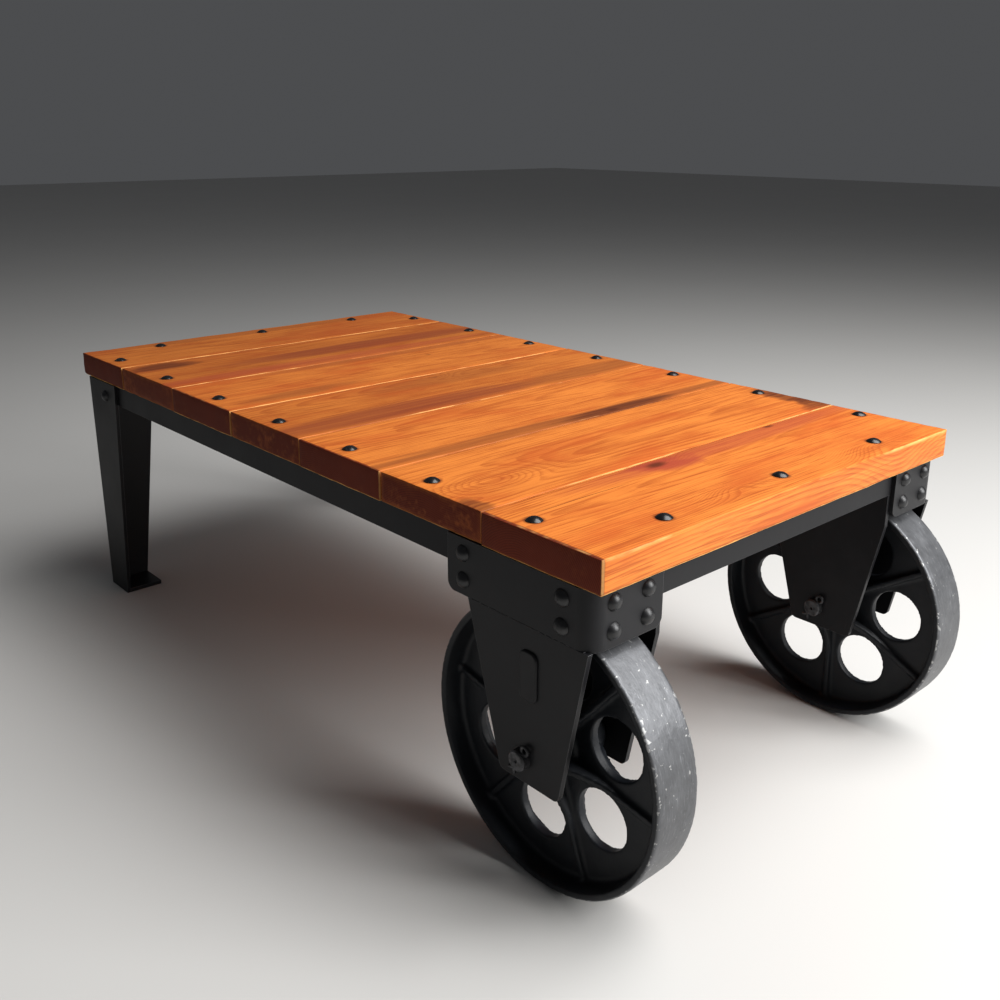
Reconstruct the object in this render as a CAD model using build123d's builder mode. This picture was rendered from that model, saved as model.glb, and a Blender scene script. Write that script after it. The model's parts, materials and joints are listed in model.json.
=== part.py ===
from build123d import *
import math
import os

# Low plank-topped cart table. Millimetres, +Z up, standing on Z = 0.
# +X runs along the deck to the wheel end, +Y is the left-hand side.

# ---- Deck ----
DECK_TOP = 430.0
DECK_WIDTH = 670.0
PLANK_THICK = 38.5
PLANK_WIDTHS = (166.0, 186.0, 182.0, 181.0, 177.0, 180.0, 173.0)
PLANK_SIDE_SHIFTS = (0.0, 0.6, -0.5, 0.4, -0.6, 0.5, -1.4)
PLANK_GAP = 0.8
ARRIS = 1.6

# ---- Angle-iron frame under the deck ----
RAIL_LEG = 35.0
RAIL_THICK = 5.0
RAIL_ROOT = 4.0
PLATE = 6.0
END_INSET = 18.0

# ---- Wheels and axles ----
WHEEL_RADIUS = 168.5
WHEEL_WIDTH = 62.0
AXLE_SETBACK = 107.5
AXLE_RADIUS = 12.0
AXLE_STANDOUT = 9.5
AXLE_HOLE_RADIUS = 12.15
AXLE_CHAMFER = 1.5
CENTRE_DRILL = (2.4, 2.4, 35.0)
FORK_INNER_FACE = 226.0
RUNNING_CLEARANCE = 0.05
BUSH_RADIUS = 16.0
BUSH_FIT = 0.02
THRUST_WASHER = (20.0, 12.2, 3.0)
THRUST_GAP = 0.5
RIM_THICK = 10.0
WEB_THICK = 12.0
HUB_RADIUS = 33.0
RIB_THICK = 8.0
RIB_COUNT = 6
HOLE_RADIUS = 35.0
HOLE_PITCH_RADIUS = 95.0
HOLE_PHASE = {"left": 1.5, "right": 19.5}
HUB_TAPER = 2.0
RIM_TAPER = (1.0, 2.0)
TREAD_EDGE = 2.5
RIM_LIP = 2.0
RIM_ROOT = 8.0
HUB_ROOT = 7.0
RIB_START = 6.0
RIB_HUB_DROP = 7.0
RIB_WAIST = (61.0, 21.0)
RIB_LOW = (103.0, 7.0)
RIB_AT_RIM = 5.0

# ---- Forks and corner brackets ----
BRACKET_HEIGHT = 66.0
BRACKET_SIDE_LENGTH = 216.5
BRACKET_END_LENGTH = 104.0
BRACKET_BEND = 20.0
BRACKET_CORNER = 11.0
BEND_CLEARANCE = 0.2
FORK_FOOT_Z = 141.0
FORK_FOOT_HALF = 44.5
FORK_FOOT_CENTRE = 10.0
FORK_TOP_FRONT = 92.0
FORK_TOP_BACK = 87.0
FORK_CORNER = 8.0
BRIDGE_BACK = 94.0
BRIDGE_FLANGE_Z = 333.0
PAD_SIZE = (26.0, 58.0, 3.0)
PAD_Z = 270.0
PAD_CORNER = 5.2
PAD_EDGE = 1.2

# ---- Legs ----
LEG_INSET = 23.0
LEG_SIDE_TOP = 105.0
LEG_SIDE_FOOT = 66.0
LEG_END_TOP = 112.0
LEG_END_FOOT = 64.0
FOOT_PLATE_THICK = 7.0

# ---- Fasteners ----
BOLT_STATIONS = (108.5, 286.5, 457.5, 627.5, 796.5, 960.5, 1127.5)
BOLT_SIDE_Y = 311.0
END_ROW_SETBACK = 35.5
END_ROW_Y = (-206.0, 0.0, 206.0)
BOLT_HEAD = (9.5, 4.2)
BOLT_NECK = (8.0, 4.5)
NECK_CLEARANCE = 0.3
BOLT_SHANK_RADIUS = 3.95
BOLT_HOLE_RADIUS = 4.2
BOLT_TAIL = 3.0
NUT = (13.0, 6.5)
BOLT_WASHER = (8.0, 1.6)
RIVET_HEAD = (9.75, 6.5)
RIVET_TAIL_HEAD = (6.4, 3.0)
RIVET_SHANK_RADIUS = 4.9
RIVET_HOLE_RADIUS = 5.0
RIVET_HEIGHTS = (374.0, 343.0)
RIVET_SIDE_SETBACKS = (202.5, 52.5)
RIVET_END_Y = (303.5, 254.0)
LEG_RIVET_Z = 368.0
LEG_RIVET_SIDE_RUN = 64.0
LEG_RIVET_END_Y = 290.0
SPLIT_PIN_RADIUS = 2.8
SPLIT_PIN_HOLE_RADIUS = 3.1
SPLIT_PIN_OFFSET = 4.5
SPLIT_PIN_TILT = 58.0
PIN_WIRE_RADIUS = 1.75
PIN_EYE = (4.0, 4.6)
PIN_LEG_OFFSET = 0.9
PIN_LEG_BEND = (7.0, 70.0)

# ---- Worked out ----
DECK_LENGTH = sum(PLANK_WIDTHS)
OVERHANG = WHEEL_RADIUS - AXLE_SETBACK
LEG_END_X = -(DECK_LENGTH + OVERHANG) / 2
WHEEL_END_X = LEG_END_X + DECK_LENGTH
DECK_UNDER = DECK_TOP - PLANK_THICK
HALF_WIDTH = DECK_WIDTH / 2
RAIL_Y = HALF_WIDTH - PLATE
RAIL_BOTTOM = DECK_UNDER - RAIL_LEG
FLANGE_UNDER = DECK_UNDER - RAIL_THICK
LEG_RAIL_X = LEG_END_X + END_INSET
WHEEL_RAIL_X = WHEEL_END_X - END_INSET
AXLE_X = WHEEL_END_X - AXLE_SETBACK
FORK_INNER_BACK = FORK_INNER_FACE + PLATE
WHEEL_Y = (FORK_INNER_BACK + RAIL_Y) / 2
HUB_HALF = (RAIL_Y - FORK_INNER_BACK) / 2 - THRUST_WASHER[2] - THRUST_GAP
LEG_X = LEG_END_X + LEG_INSET
BRACKET_BOTTOM = DECK_UNDER - BRACKET_HEIGHT
BRACKET_X = WHEEL_RAIL_X + PLATE
SIDES = {"left": 1.0, "right": -1.0}
Y_AXIS = (0, 1, 0)


def save(part, label):
    """Label a finished piece and write it as one STEP file."""
    part.label = label
    export_step(part, f"parts/{label}.step")


def plank_edges():
    """X of every joint between planks, from the leg end to the wheel end."""
    edges = [LEG_END_X]
    for width in PLANK_WIDTHS:
        edges.append(edges[-1] + width)
    return edges


def bolt_places():
    """X, Y of all the deck bolts: one at each plank end and a row across each end plank."""
    places = []
    for station in BOLT_STATIONS:
        for side in SIDES.values():
            places.append((LEG_END_X + station, side * BOLT_SIDE_Y))
    for x in (LEG_END_X + END_ROW_SETBACK, WHEEL_END_X - END_ROW_SETBACK):
        for y in END_ROW_Y:
            places.append((x, y))
    return places


def rivet_places(side):
    """Centre, outward normal and clamped thickness of a corner bracket's eight rivets."""
    places = []
    for z, backing in zip(RIVET_HEIGHTS, (RAIL_THICK, PLATE)):
        for setback in RIVET_SIDE_SETBACKS:
            places.append(((WHEEL_END_X - setback, side * HALF_WIDTH, z), (0, side, 0), PLATE + backing))
        for y in RIVET_END_Y:
            places.append(((BRACKET_X, side * y, z), (1, 0, 0), PLATE + backing))
    return places


def leg_rivet_places(side):
    """Centre, outward normal and clamped thickness of one leg's two rivets."""
    grip = PLATE + RAIL_THICK
    side_rivet = ((LEG_X + LEG_RIVET_SIDE_RUN, side * HALF_WIDTH, LEG_RIVET_Z), (0, side, 0), grip)
    end_rivet = ((LEG_RAIL_X, side * LEG_RIVET_END_Y, LEG_RIVET_Z), (-1, 0, 0), grip)
    return [side_rivet, end_rivet]


def cap_middle(radius, height):
    """Point halfway along the side of a spherical cap, as distance out and height."""
    ball = (radius**2 + height**2) / (2 * height)
    half_angle = math.asin(radius / ball) / 2
    return ball * math.sin(half_angle), height - ball + ball * math.cos(half_angle)


def plank(index, x_low, x_high):
    """One deck board, eased along its edges, with a square-mouthed hole for each bolt."""
    y_shift = PLANK_SIDE_SHIFTS[index]
    width = x_high - x_low - PLANK_GAP
    centre = (x_low + x_high) / 2
    bolts = [place for place in bolt_places() if x_low < place[0] < x_high]
    with BuildPart() as board:
        with BuildSketch(Plane.XY.offset(DECK_UNDER)):
            with Locations((centre, y_shift)):
                Rectangle(width, DECK_WIDTH)
        extrude(amount=PLANK_THICK)
        chamfer(board.edges().group_by(Axis.Z)[-1], ARRIS)
        fillet(board.edges().filter_by(Axis.Y).group_by(Axis.Z)[0], ARRIS)
        with BuildSketch(Plane.XY.offset(DECK_UNDER)):
            with Locations(*bolts):
                Circle(BOLT_HOLE_RADIUS)
        extrude(amount=PLANK_THICK, mode=Mode.SUBTRACT)
        with BuildSketch(Plane.XY.offset(DECK_TOP)):
            with Locations(*bolts):
                Rectangle(BOLT_NECK[0] + NECK_CLEARANCE, BOLT_NECK[0] + NECK_CLEARANCE)
        extrude(amount=-(BOLT_NECK[1] + NECK_CLEARANCE), mode=Mode.SUBTRACT)
    save(board.part, f"plank_{index + 1}")


def deck_bolts():
    """Carriage bolts: domed head, square neck and shank, one for each hole."""
    grip = PLANK_THICK + RAIL_THICK + BOLT_WASHER[1] + NUT[1] + BOLT_TAIL
    head_radius, head_height = BOLT_HEAD
    shoulder = cap_middle(head_radius, head_height)
    with BuildPart() as bolts:
        for x, y in bolt_places():
            with BuildSketch(Plane((x, y, DECK_TOP), x_dir=(1, 0, 0), z_dir=(0, -1, 0))):
                with BuildLine():
                    Line((0, 0), (head_radius, 0))
                    ThreePointArc((head_radius, 0), shoulder, (0, head_height))
                    Line((0, head_height), (0, 0))
                make_face()
            revolve(axis=Axis((x, y, 0), (0, 0, 1)))
        with BuildSketch(Plane.XY.offset(DECK_TOP)):
            with Locations(*bolt_places()):
                Rectangle(BOLT_NECK[0], BOLT_NECK[0])
        extrude(amount=-BOLT_NECK[1])
        with BuildSketch(Plane.XY.offset(DECK_TOP)):
            with Locations(*bolt_places()):
                Circle(BOLT_SHANK_RADIUS)
        extrude(amount=-grip)
    save(bolts.part, "deck_carriage_bolts")


def deck_washers_and_nuts():
    """A round washer and a hexagon nut under the frame flange at every deck bolt."""
    radius, thick = BOLT_WASHER
    with BuildPart() as washers:
        with BuildSketch(Plane.XY.offset(FLANGE_UNDER)):
            with Locations(*bolt_places()):
                Circle(radius)
                Circle(BOLT_HOLE_RADIUS, mode=Mode.SUBTRACT)
        extrude(amount=-thick)
    save(washers.part, "deck_bolt_washers")
    across_flats, height = NUT
    with BuildPart() as nuts:
        with BuildSketch(Plane.XY.offset(FLANGE_UNDER - thick)):
            with Locations(*bolt_places()):
                RegularPolygon(across_flats / 2, 6, major_radius=False)
                Circle(BOLT_SHANK_RADIUS + RUNNING_CLEARANCE, mode=Mode.SUBTRACT)
        extrude(amount=-height)
    save(nuts.part, "deck_bolt_nuts")


def angle_outline(outer, inward):
    """Angle-iron section points: upright leg against outer, flat leg on top reaching inward."""
    return [
        (outer + inward * RAIL_THICK, FLANGE_UNDER),
        (outer + inward * RAIL_THICK, RAIL_BOTTOM),
        (outer, RAIL_BOTTOM),
        (outer, DECK_UNDER),
        (outer + inward * RAIL_LEG, DECK_UNDER),
        (outer + inward * RAIL_LEG, FLANGE_UNDER),
    ]


def side_rail(name, side):
    """Angle rail under one side of the deck, its flat leg let in between the end rails."""
    start = LEG_X + PLATE
    stop = WHEEL_RAIL_X - RAIL_THICK
    inside = side * (RAIL_Y - RAIL_THICK)
    bolts = [(x, y) for x, y in bolt_places() if y * side > RAIL_Y - RAIL_LEG]
    with BuildPart() as rail:
        with BuildSketch(Plane.YZ.offset(start)) as section:
            with BuildLine():
                Polyline(*angle_outline(side * RAIL_Y, -side), close=True)
            make_face()
            root = (inside, FLANGE_UNDER, 0)
            fillet(section.vertices().sort_by_distance(root)[0], RAIL_ROOT)
        extrude(amount=stop - start)
        for end_x in (LEG_RAIL_X + RAIL_LEG / 2, WHEEL_RAIL_X - RAIL_LEG / 2):
            with BuildSketch(Plane.XY.offset(RAIL_BOTTOM)):
                with Locations((end_x, inside - side * RAIL_LEG / 2)):
                    Rectangle(RAIL_LEG, RAIL_LEG)
            extrude(amount=RAIL_LEG, mode=Mode.SUBTRACT)
        with BuildSketch(Plane.XY.offset(DECK_UNDER)):
            with Locations(*bolts):
                Circle(BOLT_HOLE_RADIUS)
        extrude(amount=-RAIL_THICK, mode=Mode.SUBTRACT)
        rivet_xs = [WHEEL_END_X - setback for setback in RIVET_SIDE_SETBACKS]
        holes = [(x, RIVET_HEIGHTS[0]) for x in rivet_xs]
        holes.append((LEG_X + LEG_RIVET_SIDE_RUN, LEG_RIVET_Z))
        with BuildSketch(Plane.XZ.offset(-side * RAIL_Y)):
            with Locations(*holes):
                Circle(RIVET_HOLE_RADIUS)
        extrude(amount=side * RAIL_THICK, mode=Mode.SUBTRACT)
        with BuildSketch(Plane.XY.offset(BRIDGE_FLANGE_Z)) as envelope:
            with Locations(((LEG_RAIL_X + WHEEL_RAIL_X) / 2, 0)):
                Rectangle(WHEEL_RAIL_X - LEG_RAIL_X, 2 * RAIL_Y)
            fillet(envelope.vertices().group_by(Axis.X)[-1], BRACKET_BEND - PLATE + BEND_CLEARANCE)
        extrude(amount=BRACKET_HEIGHT, mode=Mode.INTERSECT)
    save(rail.part, f"side_rail_{name}")


def end_rail(name, outer, inward):
    """Angle rail across one end, its flat leg stopping at the side rails' upright legs."""
    row_x = outer + inward * (END_ROW_SETBACK - END_INSET)
    corner = RAIL_LEG - RAIL_THICK
    with BuildPart() as rail:
        with BuildSketch(Plane.XZ) as section:
            with BuildLine():
                Polyline(*angle_outline(outer, inward), close=True)
            make_face()
            root = (outer + inward * RAIL_THICK, FLANGE_UNDER, 0)
            fillet(section.vertices().sort_by_distance(root)[0], RAIL_ROOT)
        extrude(amount=RAIL_Y, both=True)
        corner_x = outer + inward * (RAIL_THICK + corner / 2)
        for side in SIDES.values():
            with BuildSketch(Plane.XY.offset(RAIL_BOTTOM)):
                with Locations((corner_x, side * (RAIL_Y - RAIL_THICK / 2))):
                    Rectangle(corner, RAIL_THICK)
            extrude(amount=RAIL_LEG, mode=Mode.SUBTRACT)
        with BuildSketch(Plane.XY.offset(DECK_UNDER)):
            with Locations(*[(row_x, y) for y in END_ROW_Y]):
                Circle(BOLT_HOLE_RADIUS)
        extrude(amount=-RAIL_THICK, mode=Mode.SUBTRACT)
        if name == "wheel":
            holes = [(side * y, RIVET_HEIGHTS[0]) for side in SIDES.values() for y in RIVET_END_Y]
        else:
            holes = [(side * LEG_RIVET_END_Y, LEG_RIVET_Z) for side in SIDES.values()]
        with BuildSketch(Plane.YZ.offset(outer)):
            with Locations(*holes):
                Circle(RIVET_HOLE_RADIUS)
        extrude(amount=inward * RAIL_THICK, mode=Mode.SUBTRACT)
        with BuildSketch(Plane.XY.offset(BRIDGE_FLANGE_Z)) as envelope:
            with Locations(((LEG_RAIL_X + WHEEL_RAIL_X) / 2, 0)):
                Rectangle(WHEEL_RAIL_X - LEG_RAIL_X, 2 * RAIL_Y)
            fillet(envelope.vertices().group_by(Axis.X)[-1], BRACKET_BEND - PLATE + BEND_CLEARANCE)
        extrude(amount=BRACKET_HEIGHT, mode=Mode.INTERSECT)
    save(rail.part, f"end_rail_{name}")


def corner_bracket(name, side):
    """Folded plate round a wheel-end corner, with its free lower corners rounded."""
    back = BRACKET_X - BRACKET_SIDE_LENGTH
    outer = side * HALF_WIDTH
    inner = side * (HALF_WIDTH - BRACKET_END_LENGTH)
    with BuildPart() as bracket:
        with BuildSketch(Plane.XY.offset(BRACKET_BOTTOM)) as section:
            with BuildLine():
                Polyline(
                    (back, outer),
                    (BRACKET_X, outer),
                    (BRACKET_X, inner),
                    (BRACKET_X - PLATE, inner),
                    (BRACKET_X - PLATE, outer - side * PLATE),
                    (back, outer - side * PLATE),
                    close=True,
                )
            make_face()
            bend_out = section.vertices().sort_by_distance((BRACKET_X, outer, 0))[0]
            fillet(bend_out, BRACKET_BEND)
            bend_in = (BRACKET_X - PLATE, outer - side * PLATE, 0)
            fillet(section.vertices().sort_by_distance(bend_in)[0], BRACKET_BEND - PLATE)
        extrude(amount=BRACKET_HEIGHT)
        lower_back = bracket.edges().filter_by(Axis.Y).group_by(Axis.X)[0].sort_by(Axis.Z)[0]
        lower_front = bracket.edges().filter_by(Axis.X).filter_by_position(Axis.Z, 0, BRACKET_BOTTOM + 1)
        lower_front = lower_front.filter_by(lambda edge: edge.length < PLATE * 1.1)[0]
        fillet([lower_back, lower_front], BRACKET_CORNER)
        for centre, normal, _ in rivet_places(side):
            with BuildSketch(Plane(centre, z_dir=normal)):
                Circle(RIVET_HOLE_RADIUS)
            extrude(amount=-PLATE, mode=Mode.SUBTRACT)
    save(bracket.part, f"corner_bracket_{name}")


def rivet_group(name, places):
    """Rivets with a domed head outside, a shank through both plates and a small tail head."""
    head_radius, head_height = RIVET_HEAD
    tail_radius, tail_height = RIVET_TAIL_HEAD
    shoulder = cap_middle(head_radius, head_height)
    tail_out, tail_in = cap_middle(tail_radius, tail_height)
    with BuildPart() as rivets:
        for centre, normal, grip in places:
            outward = Vector(*normal)
            upward = Vector(0, 0, 1)
            with BuildSketch(Plane(centre, x_dir=upward, z_dir=upward.cross(outward))):
                with BuildLine():
                    tail_tip = (0, -grip - tail_height)
                    Line((0, head_height), tail_tip)
                    ThreePointArc(tail_tip, (tail_out, -grip - tail_in), (tail_radius, -grip))
                    Line((tail_radius, -grip), (RIVET_SHANK_RADIUS, -grip))
                    Line((RIVET_SHANK_RADIUS, -grip), (RIVET_SHANK_RADIUS, 0))
                    Line((RIVET_SHANK_RADIUS, 0), (head_radius, 0))
                    ThreePointArc((head_radius, 0), shoulder, (0, head_height))
                make_face()
            revolve(axis=Axis(centre, normal))
    save(rivets.part, name)


def fork_outline(top_z):
    """Tapered fork plate outline in X and Z, from its foot up to top_z."""
    foot_x = AXLE_X + FORK_FOOT_CENTRE
    rise = (top_z - FORK_FOOT_Z) / (BRACKET_BOTTOM - FORK_FOOT_Z)
    front_foot = foot_x + FORK_FOOT_HALF
    back_foot = foot_x - FORK_FOOT_HALF
    front_top = front_foot + rise * (AXLE_X + FORK_TOP_FRONT - front_foot)
    back_top = back_foot + rise * (AXLE_X - FORK_TOP_BACK - back_foot)
    return back_foot, front_foot, front_top, back_top


def fork_outer_plate(name, side):
    """Outer fork plate, welded under the corner bracket and flush with its face."""
    back_foot, front_foot, front_top, back_top = fork_outline(BRACKET_BOTTOM)
    with BuildPart() as fork:
        with BuildSketch(Plane.XZ.offset(-side * HALF_WIDTH)) as outline:
            with BuildLine():
                Polyline(
                    (back_foot, FORK_FOOT_Z),
                    (front_foot, FORK_FOOT_Z),
                    (front_top, BRACKET_BOTTOM),
                    (back_top, BRACKET_BOTTOM),
                    close=True,
                )
            make_face()
            fillet(outline.vertices().group_by(Axis.Y)[0], FORK_CORNER)
            with Locations((AXLE_X, WHEEL_RADIUS)):
                Circle(AXLE_HOLE_RADIUS, mode=Mode.SUBTRACT)
        extrude(amount=side * PLATE)
    save(fork.part, f"fork_outer_plate_{name}")


def fork_inner_plate(name, side):
    """Inner fork plate, reaching up behind the bracket and the end rail to the rail's flange."""
    back_foot, front_foot, front_top, _ = fork_outline(BRACKET_BOTTOM)
    _, _, _, back_top = fork_outline(FLANGE_UNDER)
    steepness = (BRACKET_BOTTOM - FORK_FOOT_Z) / (front_top - front_foot)
    shoulder_z = FORK_FOOT_Z + (WHEEL_RAIL_X - front_foot) * steepness
    notch_x = WHEEL_RAIL_X - RAIL_THICK
    with BuildPart() as fork:
        with BuildSketch(Plane.XZ.offset(-side * FORK_INNER_FACE)) as outline:
            with BuildLine():
                Polyline(
                    (back_foot, FORK_FOOT_Z),
                    (front_foot, FORK_FOOT_Z),
                    (WHEEL_RAIL_X, shoulder_z),
                    (WHEEL_RAIL_X, RAIL_BOTTOM),
                    (notch_x, RAIL_BOTTOM),
                    (notch_x, FLANGE_UNDER - RAIL_ROOT),
                    (notch_x - RAIL_ROOT, FLANGE_UNDER),
                    (back_top, FLANGE_UNDER),
                    close=True,
                )
            make_face()
            fillet(outline.vertices().group_by(Axis.Y)[0], FORK_CORNER)
            with Locations((AXLE_X, WHEEL_RADIUS)):
                Circle(AXLE_HOLE_RADIUS, mode=Mode.SUBTRACT)
        extrude(amount=-side * PLATE)
    save(fork.part, f"fork_inner_plate_{name}")


def fork_bridge(name, side):
    """Folded cap over the wheel that ties both fork plates to the frame corner."""
    back = AXLE_X - BRIDGE_BACK
    length = WHEEL_RAIL_X - back
    width = RAIL_Y - FORK_INNER_BACK
    top = RAIL_BOTTOM
    low_rivets = [place for place in rivet_places(side) if place[0][2] < RAIL_BOTTOM]
    with BuildPart() as bridge:
        with BuildSketch(Plane.XY.offset(top)):
            with Locations((back + length / 2, side * WHEEL_Y)):
                Rectangle(length, width)
        extrude(amount=BRIDGE_FLANGE_Z - top)
        with BuildSketch(Plane.XY.offset(top - PLATE)):
            with Locations((back + length / 2 - PLATE / 2, side * (WHEEL_Y - PLATE / 2))):
                Rectangle(length - PLATE, width - PLATE)
        extrude(amount=BRIDGE_FLANGE_Z - top, mode=Mode.SUBTRACT)
        for centre, normal, _ in low_rivets:
            with BuildSketch(Plane(centre, z_dir=normal)):
                Circle(RIVET_HOLE_RADIUS)
            extrude(amount=-PLATE * 2, mode=Mode.SUBTRACT)
        with BuildSketch(Plane.XY.offset(BRIDGE_FLANGE_Z)) as envelope:
            with Locations(((LEG_RAIL_X + WHEEL_RAIL_X) / 2, 0)):
                Rectangle(WHEEL_RAIL_X - LEG_RAIL_X, 2 * RAIL_Y)
            fillet(envelope.vertices().group_by(Axis.X)[-1], BRACKET_BEND - PLATE + BEND_CLEARANCE)
        extrude(amount=BRACKET_HEIGHT, mode=Mode.INTERSECT)
    save(bridge.part, f"fork_bridge_{name}")


def fork_pad(name, side):
    """Small upright pad welded to the face of the outer fork plate."""
    width, height, thick = PAD_SIZE
    with BuildPart() as pad:
        with BuildSketch(Plane.XZ.offset(-side * HALF_WIDTH)):
            with Locations((AXLE_X + FORK_FOOT_CENTRE, PAD_Z)):
                RectangleRounded(width, height, PAD_CORNER)
        extrude(amount=-side * thick)
        fillet(pad.faces().sort_by(Axis.Y)[-1 if side > 0 else 0].edges(), PAD_EDGE)
    save(pad.part, f"fork_pad_{name}")


def wheel(name, side):
    """Cast spoked-web wheel: rim, web with round holes, hub and ribs on both faces."""
    centre = (AXLE_X, side * WHEEL_Y, WHEEL_RADIUS)
    half = WHEEL_WIDTH / 2
    web = WEB_THICK / 2
    rim_in = WHEEL_RADIUS - RIM_THICK
    rim_lip = rim_in + RIM_TAPER[0]
    rim_root = rim_in - RIM_TAPER[1]
    hub_face = HUB_RADIUS - HUB_TAPER
    hub_root = HUB_RADIUS + HUB_TAPER
    rib_in = HUB_RADIUS - RIB_START
    rib_top = HUB_HALF - RIB_HUB_DROP
    rib_low = (RIB_LOW[0], web + RIB_LOW[1])
    rib_end = web + RIB_AT_RIM
    bore = BUSH_RADIUS + BUSH_FIT
    with BuildPart() as casting:
        with BuildSketch(Plane(centre, x_dir=(1, 0, 0), z_dir=(0, 0, 1))) as section:
            with BuildLine():
                Polyline(
                    (bore, -HUB_HALF),
                    (hub_face, -HUB_HALF),
                    (hub_root, -web),
                    (rim_root, -web),
                    (rim_lip, -half),
                    (WHEEL_RADIUS, -half),
                    (WHEEL_RADIUS, half),
                    (rim_lip, half),
                    (rim_root, web),
                    (hub_root, web),
                    (hub_face, HUB_HALF),
                    (bore, HUB_HALF),
                    close=True,
                )
            make_face()
            corners = section.vertices().group_by(Axis.X)
            fillet(corners[-1], TREAD_EDGE)
            fillet(corners[-2], RIM_LIP)
            fillet(corners[-3], RIM_ROOT)
            hub_corners = section.vertices().filter_by_position(Axis.X, HUB_RADIUS, hub_root + HUB_TAPER)
            fillet(hub_corners, HUB_ROOT)
        revolve(axis=Axis(centre, Y_AXIS))
        for index in range(RIB_COUNT):
            turn = math.radians(HOLE_PHASE[name] + 180 / RIB_COUNT + index * 360 / RIB_COUNT)
            out = (math.cos(turn), 0, math.sin(turn))
            across = (-math.sin(turn), 0, math.cos(turn))
            with BuildSketch(Plane(centre, x_dir=out, z_dir=across)):
                with BuildLine():
                    Line((rib_in, 0), (rib_in, rib_top))
                    Line((rib_in, rib_top), (hub_face, rib_top))
                    ThreePointArc((hub_face, rib_top), RIB_WAIST, rib_low)
                    Line(rib_low, (rim_in, rib_end))
                    Line((rim_in, rib_end), (rim_in, 0))
                    Line((rim_in, 0), (rib_in, 0))
                make_face()
                mirror(about=Plane.XZ)
            extrude(amount=RIB_THICK / 2, both=True)
        with BuildSketch(Plane(centre, x_dir=(1, 0, 0), z_dir=(0, -1, 0))):
            with PolarLocations(HOLE_PITCH_RADIUS, RIB_COUNT, start_angle=HOLE_PHASE[name]):
                Circle(HOLE_RADIUS)
        extrude(amount=WEB_THICK, both=True, mode=Mode.SUBTRACT)
    save(casting.part, f"wheel_{name}")


def hub_bush(name, side):
    """Plain bearing bush pressed through the hub."""
    centre = (AXLE_X, side * WHEEL_Y, WHEEL_RADIUS)
    with BuildPart() as bush:
        with BuildSketch(Plane(centre, x_dir=(1, 0, 0), z_dir=(0, -1, 0))):
            Circle(BUSH_RADIUS)
            Circle(AXLE_RADIUS + RUNNING_CLEARANCE, mode=Mode.SUBTRACT)
        extrude(amount=HUB_HALF, both=True)
    save(bush.part, f"hub_bush_{name}")


def pin_planes(side):
    """Planes through both split-pin holes of one axle, X along the axle and Z along the pin."""
    tilt = math.radians(SPLIT_PIN_TILT)
    along = (math.cos(tilt), 0, math.sin(tilt))
    stations = (HALF_WIDTH + SPLIT_PIN_OFFSET, FORK_INNER_FACE - SPLIT_PIN_OFFSET)
    return [Plane((AXLE_X, side * y, WHEEL_RADIUS), x_dir=Y_AXIS, z_dir=along) for y in stations]


def axle(name, side):
    """Round axle bar with chamfered, centre-drilled ends and a pin hole near each."""
    inner = FORK_INNER_FACE - AXLE_STANDOUT
    outer = HALF_WIDTH + AXLE_STANDOUT
    middle = (AXLE_X, side * (inner + outer) / 2, WHEEL_RADIUS)
    ends = ((inner, 1.0), (outer, -1.0))
    drill_radius, drill_depth, drill_taper = CENTRE_DRILL
    with BuildPart() as bar:
        with BuildSketch(Plane(middle, x_dir=(1, 0, 0), z_dir=(0, -1, 0))):
            Circle(AXLE_RADIUS)
        extrude(amount=(outer - inner) / 2, both=True)
        chamfer(bar.edges().filter_by(GeomType.CIRCLE), AXLE_CHAMFER)
        for y, into in ends:
            face = Plane((AXLE_X, side * y, WHEEL_RADIUS), x_dir=(1, 0, 0), z_dir=(0, side * into, 0))
            with BuildSketch(face):
                Circle(drill_radius)
            extrude(amount=drill_depth, taper=drill_taper, mode=Mode.SUBTRACT)
        for plane in pin_planes(side):
            with BuildSketch(plane):
                Circle(SPLIT_PIN_HOLE_RADIUS)
            extrude(amount=AXLE_RADIUS * 2, both=True, mode=Mode.SUBTRACT)
    save(bar.part, f"axle_{name}")


def split_pins():
    """Split pins: eye at the upper end, shank through the axle, two legs bent apart."""
    eye_rise, eye_radius = PIN_EYE
    bend_radius, bend_angle = PIN_LEG_BEND
    reach = AXLE_RADIUS + 1
    with BuildPart() as pins:
        for side in SIDES.values():
            for plane in pin_planes(side):
                with BuildSketch(plane.offset(-reach)):
                    Circle(SPLIT_PIN_RADIUS)
                extrude(amount=2 * reach)
                eye = plane.origin + plane.z_dir * (reach + eye_rise)
                ring = eye + plane.y_dir * eye_radius
                with BuildSketch(Plane(ring, x_dir=plane.y_dir, z_dir=plane.z_dir)):
                    Circle(PIN_WIRE_RADIUS)
                revolve(axis=Axis(eye, plane.x_dir))
                for lean in (-1.0, 1.0):
                    start = plane.origin - plane.z_dir * reach + plane.y_dir * (lean * PIN_LEG_OFFSET)
                    pivot = start + plane.y_dir * (lean * bend_radius)
                    with BuildSketch(Plane(start, x_dir=plane.y_dir, z_dir=plane.z_dir)):
                        Circle(PIN_WIRE_RADIUS)
                    revolve(axis=Axis(pivot, plane.x_dir * lean), revolution_arc=bend_angle)
    save(pins.part, "split_pins")


def thrust_washers():
    """Four flat washers between the hubs and the fork plates."""
    radius, bore, thick = THRUST_WASHER
    with BuildPart() as washers:
        for side in SIDES.values():
            for y, into in ((RAIL_Y, -1.0), (FORK_INNER_BACK, 1.0)):
                face = Plane((AXLE_X, side * y, WHEEL_RADIUS), x_dir=(1, 0, 0), z_dir=(0, side * into, 0))
                with BuildSketch(face):
                    Circle(radius)
                    Circle(bore, mode=Mode.SUBTRACT)
                extrude(amount=thick)
    save(washers.part, "thrust_washers")


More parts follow.
